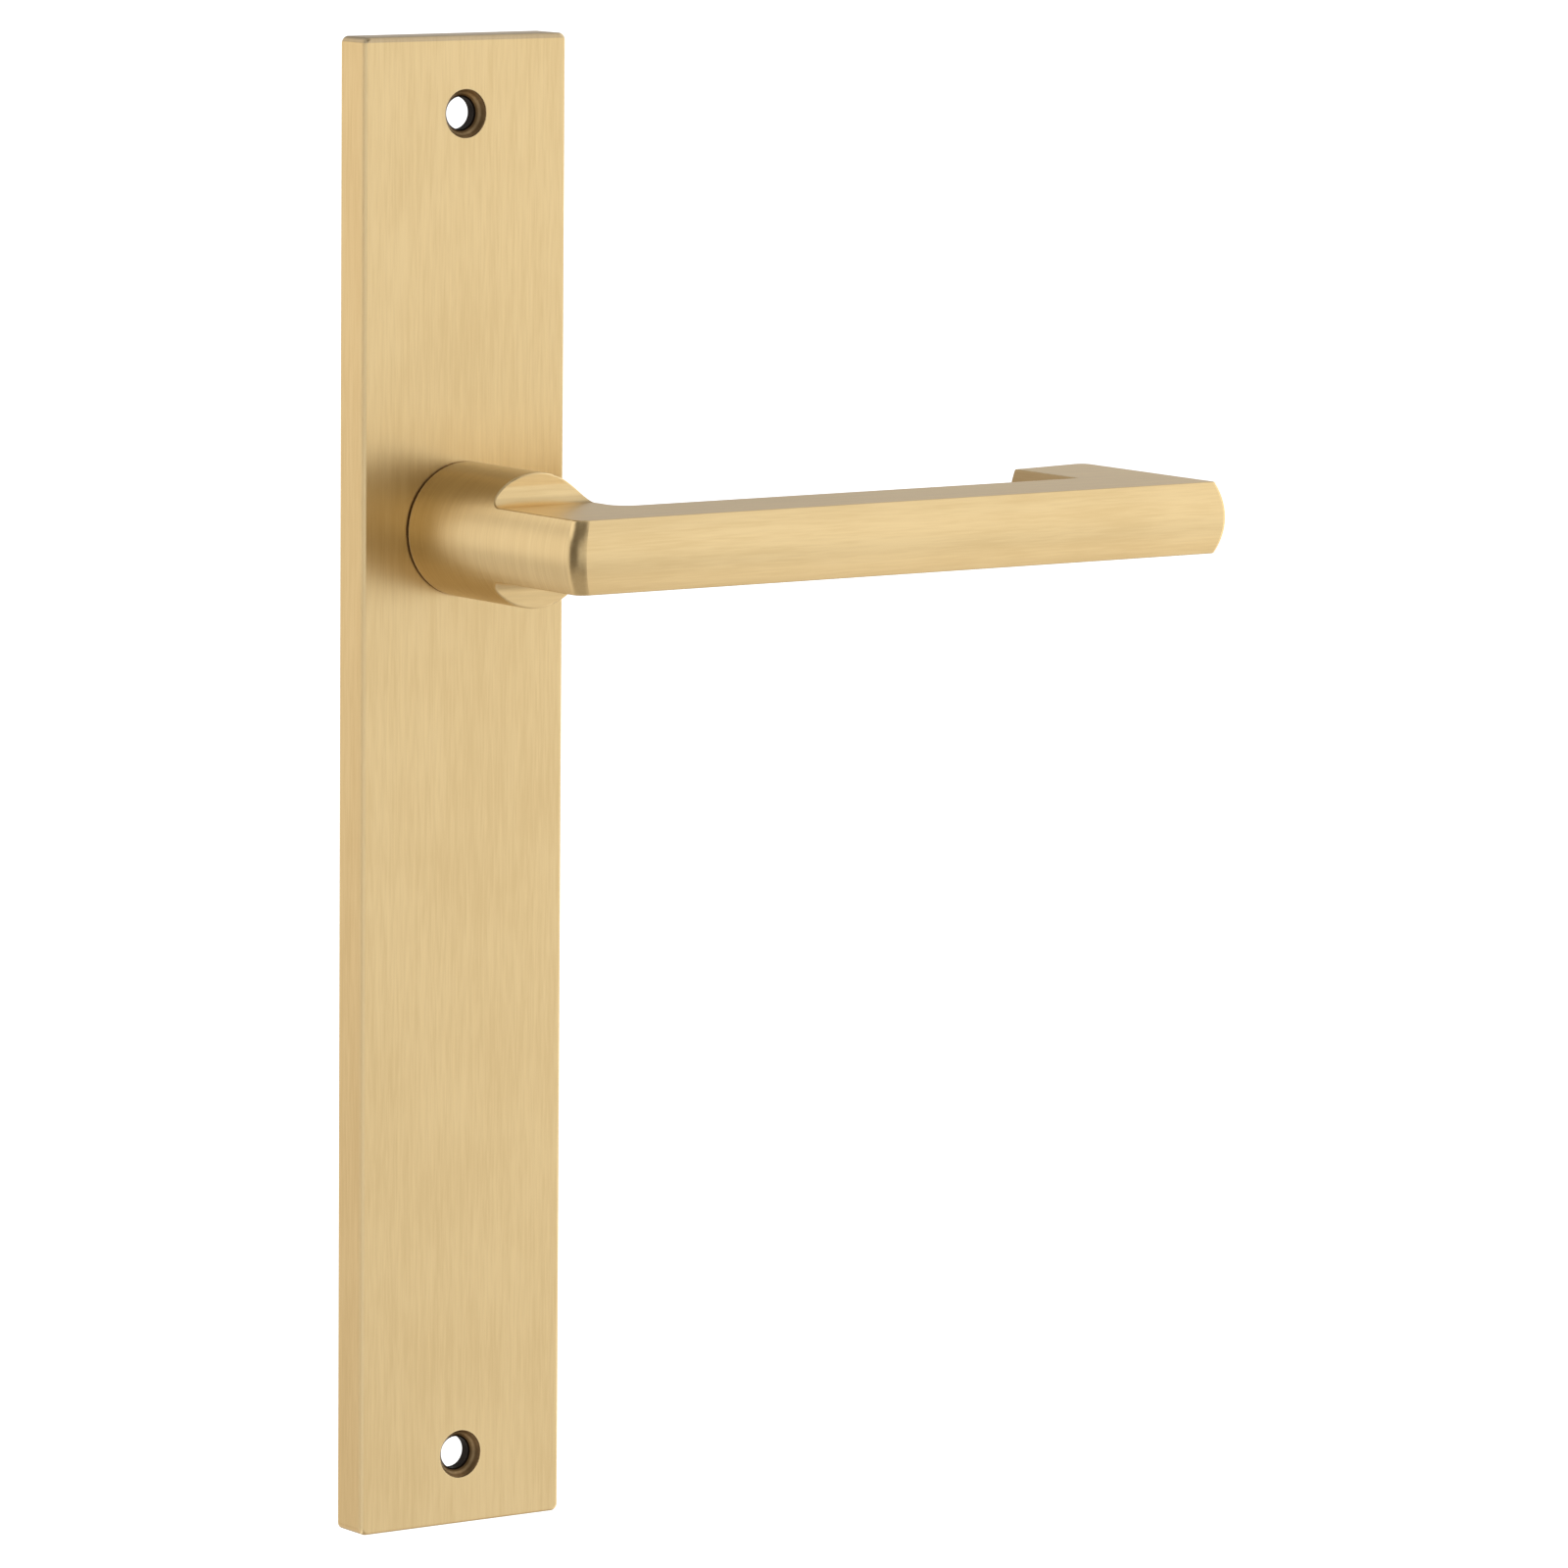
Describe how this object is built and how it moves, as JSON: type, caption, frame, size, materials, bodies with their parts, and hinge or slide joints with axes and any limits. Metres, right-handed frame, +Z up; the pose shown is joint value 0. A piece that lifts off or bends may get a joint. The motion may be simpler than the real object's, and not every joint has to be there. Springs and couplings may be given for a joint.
{
  "type": "lever door handle on backplate",
  "caption": "Satin brass lever handle with a return end, sprung in a tall slim rectangular backplate with countersunk fixing holes and a square spindle behind.",
  "frame": {"origin": "the lever's turning axis on the backplate's back face, which lies on the door", "axes": "+X along the lever at rest, +Y into the door (square to its face), +Z up along the backplate"},
  "size_m": [0.1353, 0.0728, 0.24],
  "materials": {
    "satin_brass": "satin, fine straight brushing",
    "zinc_plated_steel": "zinc plated",
    "hardened_steel": "ground",
    "spring_steel": "drawn wire, oiled",
    "black_oxide_steel": "black oxide",
    "black_nylon": "moulded, matte"
  },
  "bodies": {
    "plate_set": {"backplate": "satin_brass", "spring_housing": "zinc_plated_steel", "front_bush": "black_nylon", "gap_ring": "black_nylon", "rest_stop_pin": "hardened_steel", "end_stop_pin": "hardened_steel", "spring_anchor_pin": "hardened_steel", "return_spring": "spring_steel", "cover_plate": "zinc_plated_steel", "cover_screws": "zinc_plated_steel", "rear_bush": "black_nylon"},
    "lever_set": {"lever": "satin_brass", "spindle": "zinc_plated_steel", "grub_screw": "black_oxide_steel", "drive_cam": "hardened_steel", "rear_washer": "zinc_plated_steel", "wave_washer": "spring_steel", "retaining_ring": "black_oxide_steel"}
  },
  "joints": [
    {"name": "lever_turn", "type": "hinge", "parent": "plate_set", "child": "lever_set", "pos_m": [0, 0, 0], "axis": [0, 1, 0], "range_deg": [0, 45], "stiffness_Nm_per_rad": 1, "springref_deg": -25.78, "deforming": ["return_spring"]}
  ]
}
